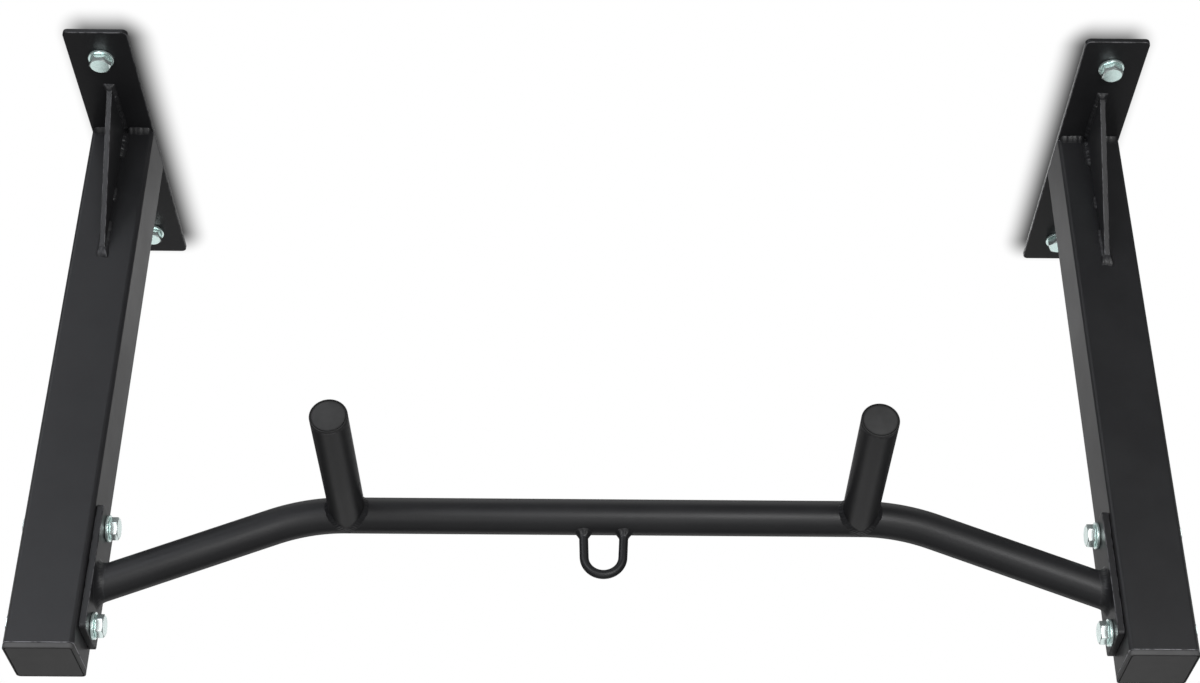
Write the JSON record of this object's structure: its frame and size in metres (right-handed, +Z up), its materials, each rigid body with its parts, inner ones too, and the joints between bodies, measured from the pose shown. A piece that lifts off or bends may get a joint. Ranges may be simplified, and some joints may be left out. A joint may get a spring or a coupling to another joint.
{
  "type": "pull up bar",
  "caption": "Ceiling-mounted pull-up bar: square-tube arms on bolt-down plates, a bolted-in bent bar, forward grips and a hanging eye.",
  "frame": {"origin": "on the ceiling plane, midway between the top faces of the two ceiling plates", "axes": "+X along the bar to the user's right, +Y away from the user (the grips point to -Y), +Z up into the ceiling"},
  "size_m": [1.0222, 0.348, 0.6279],
  "materials": {
    "powder_coat": "black powder coat, semi-matte with a fine texture",
    "black_plastic": "black moulded plastic, matte",
    "zinc_plate": "bright zinc plating with a pale blue-green tint"
  },
  "bodies": {
    "root": {"bag_eye": "powder_coat", "left_arm": "powder_coat", "left_arm_cap": "black_plastic", "left_ceiling_plate": "powder_coat", "left_end_plate": "powder_coat", "left_front_screw": "zinc_plate", "left_front_screw_washer": "zinc_plate", "left_grip": "powder_coat", "left_grip_cap": "black_plastic", "left_gusset": "powder_coat", "left_lower_bolt": "zinc_plate", "left_lower_nut": "zinc_plate", "left_lower_washer": "zinc_plate", "left_rear_screw": "zinc_plate", "left_rear_screw_washer": "zinc_plate", "left_upper_bolt": "zinc_plate", "left_upper_nut": "zinc_plate", "left_upper_washer": "zinc_plate", "pull_up_bar": "powder_coat", "right_arm": "powder_coat", "right_arm_cap": "black_plastic", "right_ceiling_plate": "powder_coat", "right_end_plate": "powder_coat", "right_front_screw": "zinc_plate", "right_front_screw_washer": "zinc_plate", "right_grip": "powder_coat", "right_grip_cap": "black_plastic", "right_gusset": "powder_coat", "right_lower_bolt": "zinc_plate", "right_lower_nut": "zinc_plate", "right_lower_washer": "zinc_plate", "right_rear_screw": "zinc_plate", "right_rear_screw_washer": "zinc_plate", "right_upper_bolt": "zinc_plate", "right_upper_nut": "zinc_plate", "right_upper_washer": "zinc_plate"}
  },
  "joints": []
}
